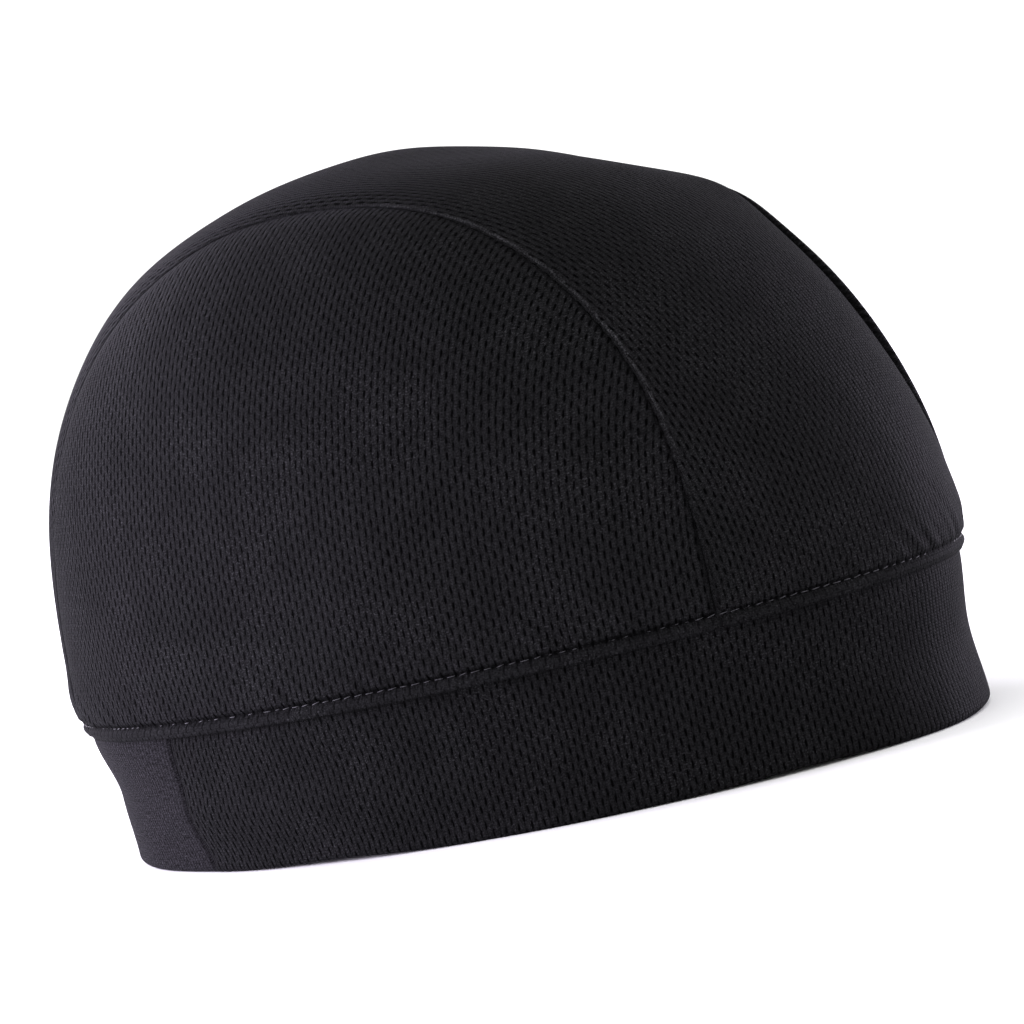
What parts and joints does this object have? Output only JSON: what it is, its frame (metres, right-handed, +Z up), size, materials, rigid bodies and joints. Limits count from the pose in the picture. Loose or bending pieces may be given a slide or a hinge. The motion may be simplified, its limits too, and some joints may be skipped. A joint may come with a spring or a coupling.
{
  "type": "cycling skull cap",
  "caption": "Close-fitting under-helmet skull cap with side panels, a centre panel over the crown, a folded headband and a rear elastic insert.",
  "frame": {"origin": "centre of the cap's bounding box, on the plane that its hem rests on", "axes": "+X towards the forehead, +Y towards the wearer's left, +Z up through the crown"},
  "size_m": [0.1934, 0.152, 0.1266],
  "materials": {
    "centre_mesh": "knitted mesh with small staggered holes, soft sheen",
    "side_mesh": "knitted mesh with small staggered holes, soft sheen",
    "band_mesh": "knitted mesh with small staggered holes, folded double",
    "elastic_rib": "fine ribbed stretch knit, soft sheen"
  },
  "bodies": {
    "root": {"centre_panel": "centre_mesh", "side_panel_left": "side_mesh", "side_panel_right": "side_mesh", "headband": "band_mesh", "rear_elastic": "elastic_rib"}
  },
  "joints": []
}
